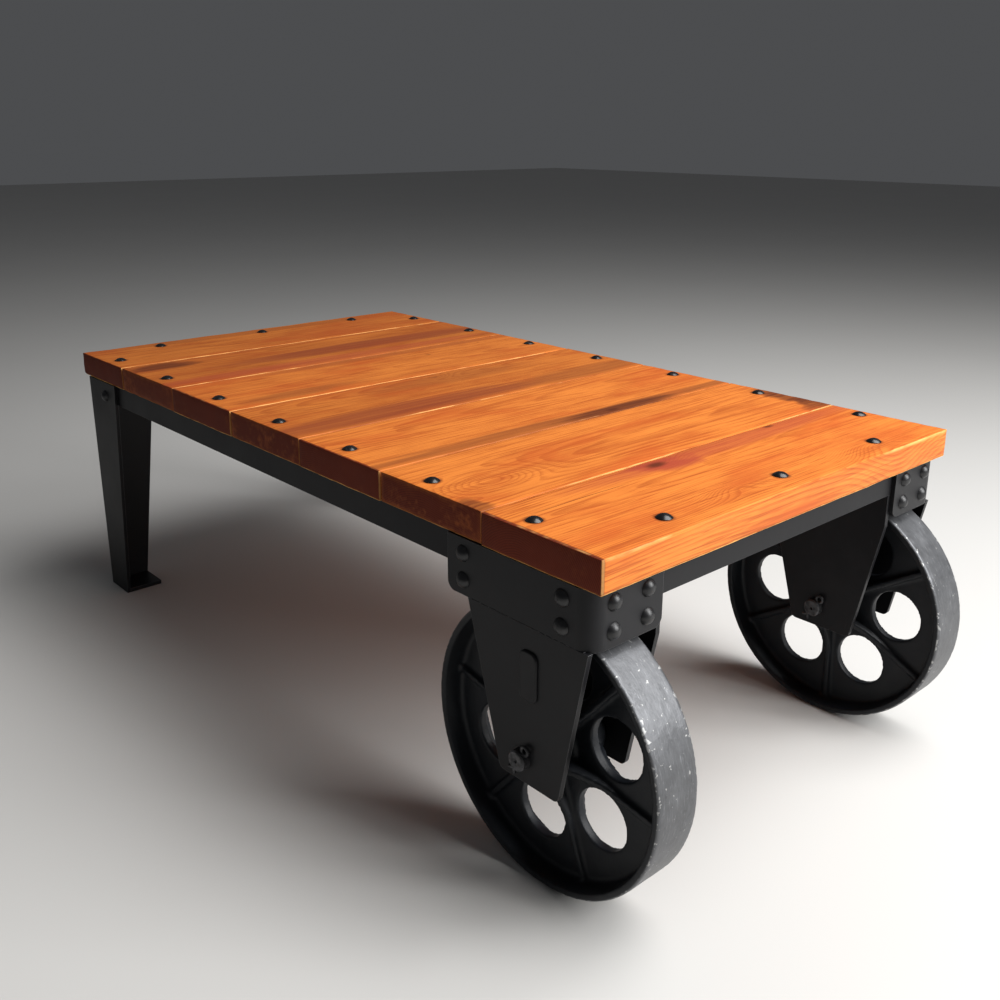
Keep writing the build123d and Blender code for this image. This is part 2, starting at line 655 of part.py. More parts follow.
def leg(name, side):
    """Leg cut from heavy angle: a side plate and an end plate, both tapering to the floor."""
    outer = side * HALF_WIDTH
    with BuildPart() as post:
        with BuildSketch(Plane.XZ.offset(-outer)):
            with BuildLine():
                Polyline(
                    (LEG_X, 0),
                    (LEG_X + LEG_SIDE_FOOT, 0),
                    (LEG_X + LEG_SIDE_TOP, DECK_UNDER),
                    (LEG_X, DECK_UNDER),
                    close=True,
                )
            make_face()
        extrude(amount=side * PLATE)
        with BuildSketch(Plane.YZ.offset(LEG_X)):
            with BuildLine():
                Polyline(
                    (outer - side * PLATE, 0),
                    (outer - side * LEG_END_FOOT, 0),
                    (outer - side * LEG_END_TOP, FLANGE_UNDER - RAIL_ROOT),
                    (outer - side * PLATE, FLANGE_UNDER - RAIL_ROOT),
                    close=True,
                )
            make_face()
        extrude(amount=PLATE)
        for centre, normal, _ in leg_rivet_places(side):
            with BuildSketch(Plane(centre, z_dir=normal)):
                Circle(RIVET_HOLE_RADIUS)
            extrude(amount=-PLATE * 2, mode=Mode.SUBTRACT)
    save(post.part, f"leg_{name}")


def foot_plate(name, side):
    """Flat sole welded inside the bottom of a leg."""
    inset = PLATE
    length = LEG_SIDE_FOOT - inset
    width = LEG_END_FOOT - inset
    with BuildPart() as foot:
        with BuildSketch(Plane.XY):
            with Locations((LEG_X + inset + length / 2, side * (HALF_WIDTH - inset - width / 2))):
                Rectangle(length, width)
        extrude(amount=FOOT_PLATE_THICK)
    save(foot.part, f"foot_plate_{name}")


def main():
    os.makedirs("parts", exist_ok=True)
    joints = plank_edges()
    for index in range(len(PLANK_WIDTHS)):
        plank(index, joints[index], joints[index + 1])
    deck_bolts()
    deck_washers_and_nuts()
    end_rail("wheel", WHEEL_RAIL_X, -1.0)
    end_rail("leg", LEG_RAIL_X, 1.0)
    for name, side in SIDES.items():
        side_rail(name, side)
        corner_bracket(name, side)
        rivet_group(f"bracket_rivets_{name}", rivet_places(side))
        fork_outer_plate(name, side)
        fork_inner_plate(name, side)
        fork_bridge(name, side)
        fork_pad(name, side)
        wheel(name, side)
        hub_bush(name, side)
        axle(name, side)
        leg(name, side)
        foot_plate(name, side)
        rivet_group(f"leg_rivets_{name}", leg_rivet_places(side))
    split_pins()
    thrust_washers()


main()
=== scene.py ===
import json
import math

import bpy
from bpy.props import FloatProperty, FloatVectorProperty, IntProperty, PointerProperty
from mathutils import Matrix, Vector

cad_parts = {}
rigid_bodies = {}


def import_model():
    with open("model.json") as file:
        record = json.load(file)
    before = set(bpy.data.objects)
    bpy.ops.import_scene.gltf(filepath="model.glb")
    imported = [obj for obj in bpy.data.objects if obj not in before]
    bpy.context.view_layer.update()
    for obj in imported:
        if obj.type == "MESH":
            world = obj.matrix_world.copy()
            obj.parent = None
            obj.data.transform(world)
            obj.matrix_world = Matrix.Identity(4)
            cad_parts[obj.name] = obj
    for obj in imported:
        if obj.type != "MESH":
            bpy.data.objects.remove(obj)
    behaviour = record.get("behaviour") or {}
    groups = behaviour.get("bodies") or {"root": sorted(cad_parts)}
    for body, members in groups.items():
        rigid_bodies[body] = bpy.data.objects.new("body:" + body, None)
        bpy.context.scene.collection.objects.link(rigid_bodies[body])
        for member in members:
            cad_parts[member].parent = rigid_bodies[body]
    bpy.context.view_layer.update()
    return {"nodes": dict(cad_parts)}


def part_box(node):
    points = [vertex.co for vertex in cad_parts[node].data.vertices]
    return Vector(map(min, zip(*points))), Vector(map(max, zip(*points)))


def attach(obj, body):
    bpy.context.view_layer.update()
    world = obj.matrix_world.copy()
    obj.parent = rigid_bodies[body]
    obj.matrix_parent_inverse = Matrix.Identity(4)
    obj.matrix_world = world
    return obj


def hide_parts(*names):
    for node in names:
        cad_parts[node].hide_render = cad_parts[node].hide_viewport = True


bl_info = {
    "name": "Cart coffee table",
    "version": (1, 0, 0),
    "blender": (4, 5, 0),
    "location": "View3D > Sidebar > Cart Table",
    "description": "Stained plank deck, cast cart wheels and painted ironwork over the packed frame",
    "category": "Object",
}

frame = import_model()
NODES = frame["nodes"]

MM = 0.001
BOARD_COUNT = 7
BOARDS = [f"plank_{number}" for number in range(1, BOARD_COUNT + 1)]
SIDES = ("left", "right")


def middle_of(node):
    """Centre of a CAD node's box."""
    low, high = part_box(node)
    return (low + high) / 2


AXLE = middle_of("axle_left")
WHEEL_LOW, WHEEL_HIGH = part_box("wheel_left")
WHEEL_RADIUS = (WHEEL_HIGH.z - WHEEL_LOW.z) / 2


# ---------------------------------------------------------------- helpers


def scaled(colour, amount):
    """A colour made lighter or darker."""
    return tuple(channel * amount for channel in colour)


def deselect_everything():
    for thing in bpy.context.view_layer.objects:
        thing.select_set(False)


def make_active(thing):
    deselect_everything()
    thing.select_set(True)
    bpy.context.view_layer.objects.active = thing


def pick(thing, kind, wanted):
    """In edit mode, selects only the edges, faces or vertices for which wanted(element) is true."""
    bpy.ops.mesh.select_mode(type={"edges": "EDGE", "polygons": "FACE", "vertices": "VERT"}[kind])
    bpy.ops.mesh.select_all(action="DESELECT")
    bpy.ops.object.mode_set(mode="OBJECT")
    for element in getattr(thing.data, kind):
        element.select = wanted(element)
    bpy.ops.object.mode_set(mode="EDIT")


def ends_of(thing, edge):
    return [thing.data.vertices[index].co for index in edge.vertices]


def along(thing, edge, axis):
    """True if an edge runs along one axis of the frame."""
    first, second = ends_of(thing, edge)
    span = second - first
    return span.length > 1e-6 and abs(span[axis]) > 0.999 * span.length


def edge_middle(thing, edge):
    first, second = ends_of(thing, edge)
    return (first + second) / 2


def slice_along(thing, axis, cuts):
    """Cuts a piece across, evenly, by dividing every long edge that runs along one axis."""

    def length(edge):
        first, second = ends_of(thing, edge)
        return (second - first).length if along(thing, edge, axis) else 0.0

    longest = max(length(edge) for edge in thing.data.edges)
    pick(thing, "edges", lambda edge: length(edge) > 0.5 * longest)
    bpy.ops.mesh.subdivide(number_cuts=cuts)


def settle(name):
    """Names a new primitive, puts its place in its mesh and goes into edit mode."""
    thing = bpy.context.active_object
    thing.name = thing.data.name = name
    bpy.ops.object.transform_apply(location=True, rotation=True, scale=True)
    bpy.ops.object.mode_set(mode="EDIT")
    return thing


def new_block(name, low, high):
    """Starts a piece as a block that fills a box."""
    deselect_everything()
    bpy.ops.mesh.primitive_cube_add(size=1.0, location=(low + high) / 2, scale=high - low)
    return settle(name)


def add_modifier(thing, kind, name, **settings):
    """Adds a modifier, sets it up and applies it."""
    modifier = thing.modifiers.new(name, kind)
    for setting, value in settings.items():
        setattr(modifier, setting, value)
    make_active(thing)
    bpy.ops.object.modifier_apply(modifier=modifier.name)


def wear_down(thing, name, depth, size, stretch=(1.0, 1.0, 1.0), group="", seed=0):
    """Sinks a surface by a soft uneven amount, never outwards. stretch draws the dips out."""
    noise = bpy.data.textures.new(name, "CLOUDS")
    noise.noise_scale = size
    noise.noise_depth = 2
    guide = bpy.data.objects.new(name + "_guide", None)
    bpy.context.scene.collection.objects.link(guide)
    guide.scale = stretch
    guide.location = (0.37 * seed, 0.61 * seed, 0.17 * seed)
    bpy.context.view_layer.update()
    add_modifier(
        thing,
        "DISPLACE",
        name,
        texture=noise,
        texture_coords="OBJECT",
        texture_coords_object=guide,
        strength=depth,
        mid_level=1.0,
        vertex_group=group,
    )
    bpy.data.objects.remove(guide)
    bpy.data.textures.remove(noise)


def finish_piece(thing, material, body, replaced=()):
    """Gives a new piece its material, slot and body, and hides the CAD nodes it stands for."""
    thing.data.materials.clear()
    thing.data.materials.append(material)
    if replaced:
        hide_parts(*replaced)
    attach(thing, body)


def repaint(node, material):
    """Puts one material on a carried-over CAD node."""
    NODES[node].data.materials.clear()
    NODES[node].data.materials.append(material)


# ---------------------------------------------------------------- material helpers


class Shade:
    """One value in a material, which ordinary arithmetic adds Math nodes to."""

    def __init__(self, recipe, socket):
        self.recipe = recipe
        self.socket = socket

    def __add__(self, other):
        return self.recipe.math("ADD", self, other)

    def __sub__(self, other):
        return self.recipe.math("SUBTRACT", self, other)

    def __rsub__(self, other):
        return self.recipe.math("SUBTRACT", other, self)

    def __mul__(self, other):
        return self.recipe.math("MULTIPLY", self, other)

    def __truediv__(self, other):
        return self.recipe.math("DIVIDE", self, other)

    def __pow__(self, other):
        return self.recipe.math("POWER", self, other)

    def __abs__(self):
        return self.recipe.math("ABSOLUTE", self)

    __radd__ = __add__
    __rmul__ = __mul__


class Recipe:
    """A material being put together, node by node."""

    def __init__(self, name):
        self.material = bpy.data.materials.new(name)
        self.material.use_nodes = True
        self.tree = self.material.node_tree
        self.tree.nodes.clear()

    def node(self, kind, settings=None, values=None, output=0):
        """Adds a node: its settings first, then its sockets' values or links. Returns one output."""
        made = self.tree.nodes.new(kind)
        for setting, value in (settings or {}).items():
            setattr(made, setting, value)
        for socket, value in (values or {}).items():
            if isinstance(value, Shade):
                self.tree.links.new(value.socket, made.inputs[socket])
            elif made.inputs[socket].type == "RGBA" and len(value) == 3:
                made.inputs[socket].default_value = (*value, 1.0)
            else:
                made.inputs[socket].default_value = value
        return Shade(self, made.outputs[output])

    def math(self, operation, *values):
        return self.node("ShaderNodeMath", {"operation": operation}, dict(enumerate(values)))

    def place(self):
        """Object coordinates, which are metres in the table's own frame."""
        return self.node("ShaderNodeTexCoord", output="Object")

    def axes(self, place):
        return [self.node("ShaderNodeSeparateXYZ", values={0: place}, output=axis) for axis in range(3)]

    def point(self, x, y, z):
        return self.node("ShaderNodeCombineXYZ", values={0: x, 1: y, 2: z})

    def stretched(self, place, scale):
        return self.node("ShaderNodeMapping", values={"Vector": place, "Scale": scale})

    def noise(self, place, scale, detail=3.0, roughness=0.5, distortion=0.0):
        values = {
            "Vector": place,
            "Scale": scale,
            "Detail": detail,
            "Roughness": roughness,
            "Distortion": distortion,
        }
        return self.node("ShaderNodeTexNoise", values=values)

    def ease(self, value, low, high):
        """0 below low, 1 above high, and smooth between them."""
        values = {"Value": value, "From Min": low, "From Max": high}
        return self.node("ShaderNodeMapRange", {"interpolation_type": "SMOOTHSTEP"}, values)

    def mix(self, factor, first, second):
        """Mixes two colours."""
        values = {0: factor, 6: first, 7: second}
        return self.node("ShaderNodeMix", {"data_type": "RGBA"}, values, output=2)

    def bump(self, height, strength, distance, rounded=0.0):
        """Surface relief from a height, over edges that look rounded by a small radius."""
        values = {"Height": height, "Strength": strength, "Distance": distance}
        if rounded:
            values["Normal"] = self.node("ShaderNodeBevel", {"samples": 6}, {"Radius": rounded})
        return self.node("ShaderNodeBump", values=values)

    def edge_wear(self, radius):
        """Near 1 on sharp outer edges and corners, 0 on flats."""
        bent = self.node("ShaderNodeBevel", {"samples": 6}, {"Radius": radius})
        flat = self.node("ShaderNodeNewGeometry", output=1)
        values = {0: bent, 1: flat}
        return 1.0 - self.node("ShaderNodeVectorMath", {"operation": "DOT_PRODUCT"}, values, output=1)

    def finish(self, **values):
        """Ends the material in one Principled surface. Underscores in a name stand for spaces."""
        named = {name.replace("_", " "): value for name, value in values.items()}
        surface = self.node("ShaderNodeBsdfPrincipled", values=named)
        end = self.tree.nodes.new("ShaderNodeOutputMaterial")
        self.tree.links.new(surface.socket, end.inputs["Surface"])
        return self.material


# ---------------------------------------------------------------- settings


class DeckSettings(bpy.types.PropertyGroup):
    """Sizes and colours of the plank deck."""

    stain: FloatVectorProperty(
        name="Stain",
        description="Colour of the stained softwood between its rings",
        subtype="COLOR",
        min=0.0,
        max=1.0,
        default=(0.65, 0.195, 0.034),
    )
    ring: FloatVectorProperty(
        name="Ring",
        description="Colour of the darker late wood",
        subtype="COLOR",
        min=0.0,
        max=1.0,
        default=(0.34, 0.07, 0.012),
    )
    worn: FloatVectorProperty(
        name="Worn edge",
        description="Colour of the arrises where the stain has rubbed off",
        subtype="COLOR",
        min=0.0,
        max=1.0,
        default=(0.9, 0.5, 0.16),
    )
    end_grain: FloatVectorProperty(
        name="End grain",
        description="Colour of the sawn plank ends, which soak up more stain",
        subtype="COLOR",
        min=0.0,
        max=1.0,
        default=(0.17, 0.026, 0.009),
    )
    arris: FloatProperty(
        name="Arris",
        description="Radius rubbed off the long edges of each board",
        unit="LENGTH",
        min=0.0005,
        max=0.006,
        default=0.0018,
    )
    relief: FloatProperty(
        name="Relief",
        description="Depth of the wear over the faces of the boards",
        unit="LENGTH",
        min=0.0,
        max=0.003,
        default=0.0007,
    )
    seed: IntProperty(name="Seed", description="Changes how the boards are worn", min=0, default=4)


class IronSettings(bpy.types.PropertyGroup):
    """Colours of the painted iron, the cast wheels and the fasteners."""

    paint: FloatVectorProperty(
        name="Paint",
        description="Colour of the satin black paint",
        subtype="COLOR",
        min=0.0,
        max=1.0,
        default=(0.0085, 0.0085, 0.0098),
    )
    cast_paint: FloatVectorProperty(
        name="Cast paint",
        description="Colour of the blue-black paint on the wheels",
        subtype="COLOR",
        min=0.0,
        max=1.0,
        default=(0.0042, 0.0052, 0.0072),
    )
    tread: FloatVectorProperty(
        name="Tread",
        description="Colour of the bare iron where the wheels roll",
        subtype="COLOR",
        min=0.0,
        max=1.0,
        default=(0.13, 0.133, 0.14),
    )
    grain_size: FloatProperty(
        name="Casting grain",
        description="Size of the remesh cells that soften the casting",
        unit="LENGTH",
        min=0.0015,
        max=0.004,
        default=0.0021,
    )
    weld_width: FloatProperty(
        name="Weld width",
        description="Width of the weld beads",
        unit="LENGTH",
        min=0.001,
        max=0.008,
        default=0.004,
    )


class StageSettings(bpy.types.PropertyGroup):
    """The floor, the lights and the camera."""

    floor: FloatVectorProperty(
        name="Floor",
        description="Colour of the plain floor",
        subtype="COLOR",
        min=0.0,
        max=1.0,
        default=(0.6, 0.59, 0.57),
    )
    window_power: FloatProperty(
        name="Window light",
        description="Power of each of the two large soft lights",
        unit="POWER",
        min=0.0,
        default=112.0,
    )
    lens: FloatProperty(
        name="Lens", description="Focal length of the camera", unit="CAMERA", min=10.0, default=38.04
    )


# ---------------------------------------------------------------- stained boards

# For each board: pith sideways and below the top, its drift sideways and upwards along the board,
# lightness and redness.
BOARD_GROWTH = (
    (0.020, -0.055, 0.010, 0.020, 0.84, 0.30),
    (-0.060, -0.090, -0.025, 0.010, 0.80, 0.45),
    (0.015, -0.050, 0.020, 0.030, 1.00, 0.15),
    (-0.060, -0.042, -0.020, 0.050, 0.90, 0.30),
    (-0.040, -0.110, 0.015, 0.020, 1.08, 0.12),
    (0.010, -0.160, -0.010, 0.010, 1.08, 0.05),
    (-0.030, -0.070, -0.010, 0.020, 1.10, 0.15),
)

# Dark patches and streaks on the top: board, sideways, lengthways, half sizes of each, strength, tint.
DARK = (0.1, 0.024, 0.01)
BROWN = (0.26, 0.07, 0.018)
RED = (0.36, 0.055, 0.028)
PLUM = (0.24, 0.05, 0.018)
BOARD_PATCHES = (
    (1, -0.060, -0.275, 0.026, 0.055, 0.80, DARK),
    (1, 0.005, 0.10, 0.030, 0.30, 0.85, PLUM),
    (1, 0.070, -0.05, 0.020, 0.40, 0.50, RED),
    (2, -0.075, 0.08, 0.013, 0.30, 0.50, PLUM),
    (3, 0.058, -0.14, 0.034, 0.26, 0.80, PLUM),
    (3, 0.060, 0.22, 0.030, 0.16, 0.60, BROWN),
    (3, -0.050, 0.02, 0.030, 0.16, 0.45, BROWN),
    (4, 0.074, 0.00, 0.017, 0.42, 0.80, BROWN),
    (4, 0.078, 0.10, 0.014, 0.14, 0.85, DARK),
    (2, 0.060, -0.20, 0.020, 0.10, 0.55, BROWN),
    (0, -0.060, 0.00, 0.016, 0.30, 0.50, BROWN),
    (5, 0.030, 0.332, 0.075, 0.030, 0.90, DARK),
    (5, 0.068, -0.326, 0.030, 0.030, 0.70, DARK),
    (6, -0.070, 0.08, 0.022, 0.30, 0.65, RED),
    (6, -0.068, -0.075, 0.026, 0.050, 0.85, RED),
)

# Knots and swirls: board, sideways, lengthways, radius, darkness of the core.
BOARD_KNOTS = (
    (2, -0.029, 0.110, 0.005, 0.7),
    (2, -0.056, 0.248, 0.004, 0.6),
    (3, -0.066, 0.010, 0.008, 0.5),
    (3, 0.010, -0.120, 0.016, 0.0),
    (4, 0.078, 0.075, 0.009, 0.8),
    (5, 0.020, -0.260, 0.018, 0.0),
    (6, -0.069, -0.077, 0.011, 0.9),
    (6, -0.080, 0.165, 0.007, 0.8),
    (6, 0.052, 0.205, 0.022, 0.0),
    (6, 0.040, -0.070, 0.014, 0.0),
)

# Fine drying cracks: board, sideways, start and end along the board.
BOARD_CRACKS = (
    (6, -0.046, -0.310, -0.130),
    (4, -0.020, -0.335, -0.250),
    (1, 0.031, 0.180, 0.335),
)


BOLT_SPREAD = 30 * MM
RING_SPACING = 2.6 * MM


def bolt_places(low, high):
    """Where bolts pass a board: one near each end, and a row of three on the two outer boards."""
    bolts = NODES["deck_carriage_bolts"].data
    found = []
    for vertex in bolts.vertices:
        spot = vertex.co
        if spot.z < high.z - 0.001 or not low.x < spot.x < high.x:
            continue
        if all((spot.xy - other).length > BOLT_SPREAD for other in found):
            found.append(spot.xy.copy())
    centres = []
    for start in found:
        near = [vertex.co.xy for vertex in bolts.vertices if (vertex.co.xy - start).length < BOLT_SPREAD]
        lowest = Vector((min(spot.x for spot in near), min(spot.y for spot in near)))
        highest = Vector((max(spot.x for spot in near), max(spot.y for spot in near)))
        centres.append((lowest + highest) / 2)
    return centres


class BoardWood:
    """Old stained softwood for one board, laid up in layers from the rings to the painted shade round its
    bolts.
    """

    def __init__(self, index, low, high, deck):
        self.index = index
        self.low = low
        self.high = high
        self.deck = deck
        self.wood = wood = Recipe(f"stained_board_{index + 1}")
        self.place = wood.place()
        self.x, self.y, self.z = wood.axes(self.place)
        self.aside = self.x - ((low + high) / 2).x
        self.slow = self.along_grain(0.32, 7.0, 2.0)
        self.wander = self.along_grain(0.12, 26.0, 3.0)
        self.fibre = self.along_grain(0.018, 900.0, 2.0, 0.6)
        self.streak = self.along_grain(0.03, 140.0, 3.0, 0.6)
        self.line = self.along_grain(0.022, 360.0, 3.0, 0.65)
        self.cloud = self.along_grain(0.4, 14.0, 4.0, 0.6)
        self.rub = wood.noise(self.place, 60.0, 3.0)
        self.on_top = wood.ease(self.z, high.z - 0.006, high.z - 0.003)
        self.rim_x = wood.math("MINIMUM", abs(self.x - low.x), abs(self.x - high.x))

    def along_grain(self, stretch, scale, detail, roughness=0.5):
        """Noise that is drawn out along the board."""
        place = self.wood.point(self.x, self.y * stretch, self.z)
        return self.wood.noise(place, scale, detail, roughness)

    def rings(self):
        """The dark late wood of the growth rings, which knots push aside, and the cores of the knots."""
        wood = self.wood
        pith_aside, pith_depth, drift, rise, _, _ = BOARD_GROWTH[self.index]
        away_x = self.aside - pith_aside - self.y * drift + (self.slow - 0.5) * 0.02
        away_z = self.z - self.high.z - pith_depth - self.y * rise + (self.wander - 0.5) * 0.005
        reach = wood.math("SQRT", away_x * away_x + away_z * away_z)
        cores = None
        for board, knot_x, knot_y, radius, darkness in BOARD_KNOTS:
            if board != self.index:
                continue
            from_x = (self.aside - knot_x) / radius
            from_y = (self.y - knot_y) / (radius * 2.2)
            gap = from_x * from_x + from_y * from_y
            reach = reach + wood.math("EXPONENT", gap * -0.35) * (radius * 1.3)
            core = wood.math("EXPONENT", gap * -1.2) * darkness
            cores = core if cores is None else wood.math("MAXIMUM", cores, core)
        phase = wood.math("FRACT", (reach + (self.slow - 0.5) * 0.004) / RING_SPACING)
        late = wood.ease(phase, 0.35, 0.9) * (1.0 - wood.ease(phase, 0.93, 1.0))
        return late, cores

    def stained(self, late):
        """Rings, fibres, fine dark lines and redder clouds."""
        wood = self.wood
        _, _, _, _, lightness, redness = BOARD_GROWTH[self.index]
        light = scaled(self.deck.stain, lightness)
        dark = scaled(self.deck.ring, lightness)
        red = (light[0] * 0.78, light[1] * 0.5, light[2] * 0.55)
        inside = wood.ease(abs(self.x - self.high.x), 0.0, 0.004)
        grain = late * (0.3 - inside * 0.06) + (self.streak - 0.2) * 0.8
        grain = grain + (self.fibre - 0.5) * 0.9 + (self.cloud - 0.5) * 1.0
        colour = wood.mix(wood.ease(grain, 0.02, 0.85), light, dark)
        colour = wood.mix(wood.ease(self.line, 0.56, 0.64) * (0.35 + self.cloud * 0.8), colour, dark)
        reddened = wood.ease(self.slow + (self.streak - 0.5) * 0.5, 0.4, 0.75) * redness
        colour = wood.mix(reddened, colour, red)
        clouded = wood.ease(self.cloud + (self.slow - 0.5) * 0.4, 0.48, 0.78) * 0.6
        return wood.mix(clouded, colour, red)

    def blotched(self, colour, cores):
        """Dark patches on the top, and the cores of the knots."""
        wood = self.wood
        for board, patch_x, patch_y, half_x, half_y, strength, tint in BOARD_PATCHES:
            if board != self.index:
                continue
            from_x = (self.aside - patch_x + (self.streak - 0.5) * 0.02) / half_x
            from_y = (self.y - patch_y + (self.cloud - 0.5) * 0.2) / half_y
            gap = from_x * from_x + from_y * from_y + (self.cloud - 0.5) * 1.5
            patch = (1.0 - wood.ease(gap, 0.25, 1.5)) * strength * self.on_top
            colour = wood.mix(patch * (0.6 + self.streak * 0.7), colour, tint)
        if cores is None:
            return colour
        return wood.mix(wood.ease(cores, 0.25, 0.9) * 0.85, colour, (0.08, 0.018, 0.008))

    def with_ends(self, colour, ends, late):
        """Sawn ends, dark with stain and paler in patches on every second board."""
        wood = self.wood
        lightness = BOARD_GROWTH[self.index][4]
        soaked = late * 0.55 + (self.cloud - 0.35) * 0.9
        end_colour = wood.mix(soaked, tuple(self.deck.end_grain), (0.07, 0.012, 0.006))
        pale = 0.2 + 0.5 * lightness * (self.index % 2)
        patchy = wood.ease(self.cloud + (self.streak - 0.5) * 0.5, 0.5, 0.72) * pale
        return wood.mix(ends, colour, wood.mix(patchy, end_colour, (0.36, 0.09, 0.022)))

    def wear(self, patched):
        """Where the stain has rubbed off: along the joints, the top and bottom edges and the corners."""
        wood = self.wood
        rim_end = abs(abs(self.y) - self.high.y)
        rim_top = abs(self.z - self.high.z)
        rim_low = abs(self.z - self.low.z)
        rim_side = wood.math("MINIMUM", rim_end, self.rim_x)
        width = 0.0008 + self.rub * 0.0018
        seam = (1.0 - wood.ease(self.rim_x / width, 0.5, 1.1)) * (1.0 - wood.ease(rim_top, 0.002, 0.006))
        post = (1.0 - wood.ease(self.rim_x / width, 0.6, 1.2)) * (1.0 - wood.ease(rim_end, 0.001, 0.003))
        foot = (1.0 - wood.ease(rim_low / width, 0.9, 1.4)) * (1.0 - wood.ease(rim_side, 0.001, 0.003))
        brow = (1.0 - wood.ease(rim_top / width, 0.25, 0.6)) * (1.0 - wood.ease(rim_side, 0.0008, 0.002))
        rubbed = wood.ease(self.rub + (self.slow - 0.5) * 0.8, 0.38, 0.62)
        edges = wood.math("MAXIMUM", foot * 0.85, brow * rubbed * 0.4)
        worn = wood.math("MAXIMUM", seam * patched * 0.7, edges)
        return wood.math("MAXIMUM", worn, post * 0.35), foot

    def cracked(self, colour):
        wood = self.wood
        for board, crack_x, start, stop in BOARD_CRACKS:
            if board != self.index:
                continue
            beside = abs(self.aside - crack_x + (self.wander - 0.5) * 0.01)
            within = wood.ease(self.y, start, start + 0.03) * (1.0 - wood.ease(self.y, stop - 0.05, stop))
            crack = (1.0 - wood.ease(beside, 0.0002, 0.0007)) * within * self.on_top
            colour = wood.mix(crack * 0.85, colour, (0.05, 0.012, 0.006))
        return colour

    def shaded_round_bolts(self, colour):
        """Painted shade: a dark ring on the top round each bolt head, where the head shades the wood."""
        wood = self.wood
        bolt_shade = None
        for bolt in bolt_places(self.low, self.high):
            distance = wood.math("SQRT", (self.x - bolt.x) ** 2.0 + (self.y - bolt.y) ** 2.0)
            # painted shade round the head, darkest at its rim and gone 14 mm from the bolt's centre
            ring = 1.0 - wood.ease(distance + (self.rub - 0.5) * 0.004, 0.0085, 0.014)
            bolt_shade = ring if bolt_shade is None else wood.math("MAXIMUM", bolt_shade, ring)
        return colour if bolt_shade is None else wood.mix(bolt_shade * 0.75 * self.on_top, colour, DARK)

    def finish(self):
        """Puts the layers together."""
        wood = self.wood
        late, cores = self.rings()
        ends = wood.ease(abs(self.y), self.high.y - 0.0035, self.high.y - 0.0012)
        patched = wood.ease(self.cloud + (self.slow - 0.5) * 0.8, 0.5, 0.64)
        worn, foot = self.wear(patched)
        below = 1.0 - wood.ease(self.z, self.low.z + 0.0015, self.low.z + 0.004)
        joint = (1.0 - wood.ease(self.rim_x, 0.0002, 0.0007)) * self.on_top * (1.0 - patched)

        colour = self.blotched(self.stained(late), cores)
        colour = self.with_ends(colour, ends, late)
        colour = wood.mix(worn, colour, tuple(self.deck.worn))
        # cracks first, then the painted shade round the bolt heads
        colour = self.shaded_round_bolts(self.cracked(colour))
        colour = wood.mix(below * (1.0 - foot) * 0.7, colour, BROWN)
        colour = wood.mix(joint * 0.8, colour, DARK)
        height = self.fibre * 0.35 + late * 0.4 + self.cloud * 0.3
        return wood.finish(
            Base_Color=colour,
            Specular_IOR_Level=0.14,
            Roughness=0.4 + self.fibre * 0.1 + worn * 0.2 + ends * 0.16 + below * 0.3,
            Normal=wood.bump(height, 0.35, 0.0004),
        )


class CARTTABLE_OT_deck_boards(bpy.types.Operator):
    """Shape the seven boards of the deck and stain them"""

    bl_idname = "cart_table.deck_boards"
    bl_label = "Deck boards"

    def execute(self, context):
        deck = context.scene.cart_table_deck
        for index, node in enumerate(BOARDS):
            low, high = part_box(node)
            board = self.shape_board(index, low, high, deck)
            finish_piece(board, BoardWood(index, low, high, deck).finish(), "table", [node])
        return {"FINISHED"}

    def shape_board(self, index, low, high, deck):
        """A sawn board: rubbed arrises, cut into cells, then worn down unevenly along its grain."""
        board = new_block(f"deck_board_{index + 1}", low, high)
        if index == 0:
            pick(
                board,
                "edges",
                lambda edge: along(board, edge, 1)
                and edge_middle(board, edge).x < low.x + 0.001
                and edge_middle(board, edge).z < low.z + 0.001,
            )
            bpy.ops.mesh.bevel(offset=9 * MM, segments=5)
        pick(board, "edges", lambda edge: self.is_arris(board, edge))
        bpy.ops.mesh.bevel(offset=deck.arris, segments=3, clamp_overlap=True)
        slice_along(board, 1, 110)
        slice_along(board, 0, 26)
        slice_along(board, 2, 5)
        bpy.ops.object.mode_set(mode="OBJECT")

        arris = board.vertex_groups.new(name="arris")
        edge_vertices = [
            vertex.index
            for vertex in board.data.vertices
            if (min(vertex.co.x - low.x, high.x - vertex.co.x) < 3 * MM)
            + (min(vertex.co.y - low.y, high.y - vertex.co.y) < 3 * MM)
            + (min(vertex.co.z - low.z, high.z - vertex.co.z) < 3 * MM)
            >= 2
        ]
        arris.add(edge_vertices, 1.0, "REPLACE")
        number = deck.seed * BOARD_COUNT + index
        wear_down(board, "arris_wear", 1.1 * MM, 0.02, (1.0, 1.6, 1.0), "arris", number)
        wear_down(board, "face_wear", deck.relief, 0.03, (0.5, 5.0, 0.5), "", number + 50)
        board.vertex_groups.clear()
        make_active(board)
        bpy.ops.object.shade_smooth_by_angle(angle=math.radians(40))
        return board

    def is_arris(self, board, edge):
        """True on the board's own sharp edges, and not on the segments of a larger rounding."""
        normals = [
            face.normal for face in board.data.polygons if set(edge.vertices) <= set(face.vertices)
        ]
        return len(normals) == 2 and normals[0].angle(normals[1]) > math.radians(60)


# ---------------------------------------------------------------- cast wheels


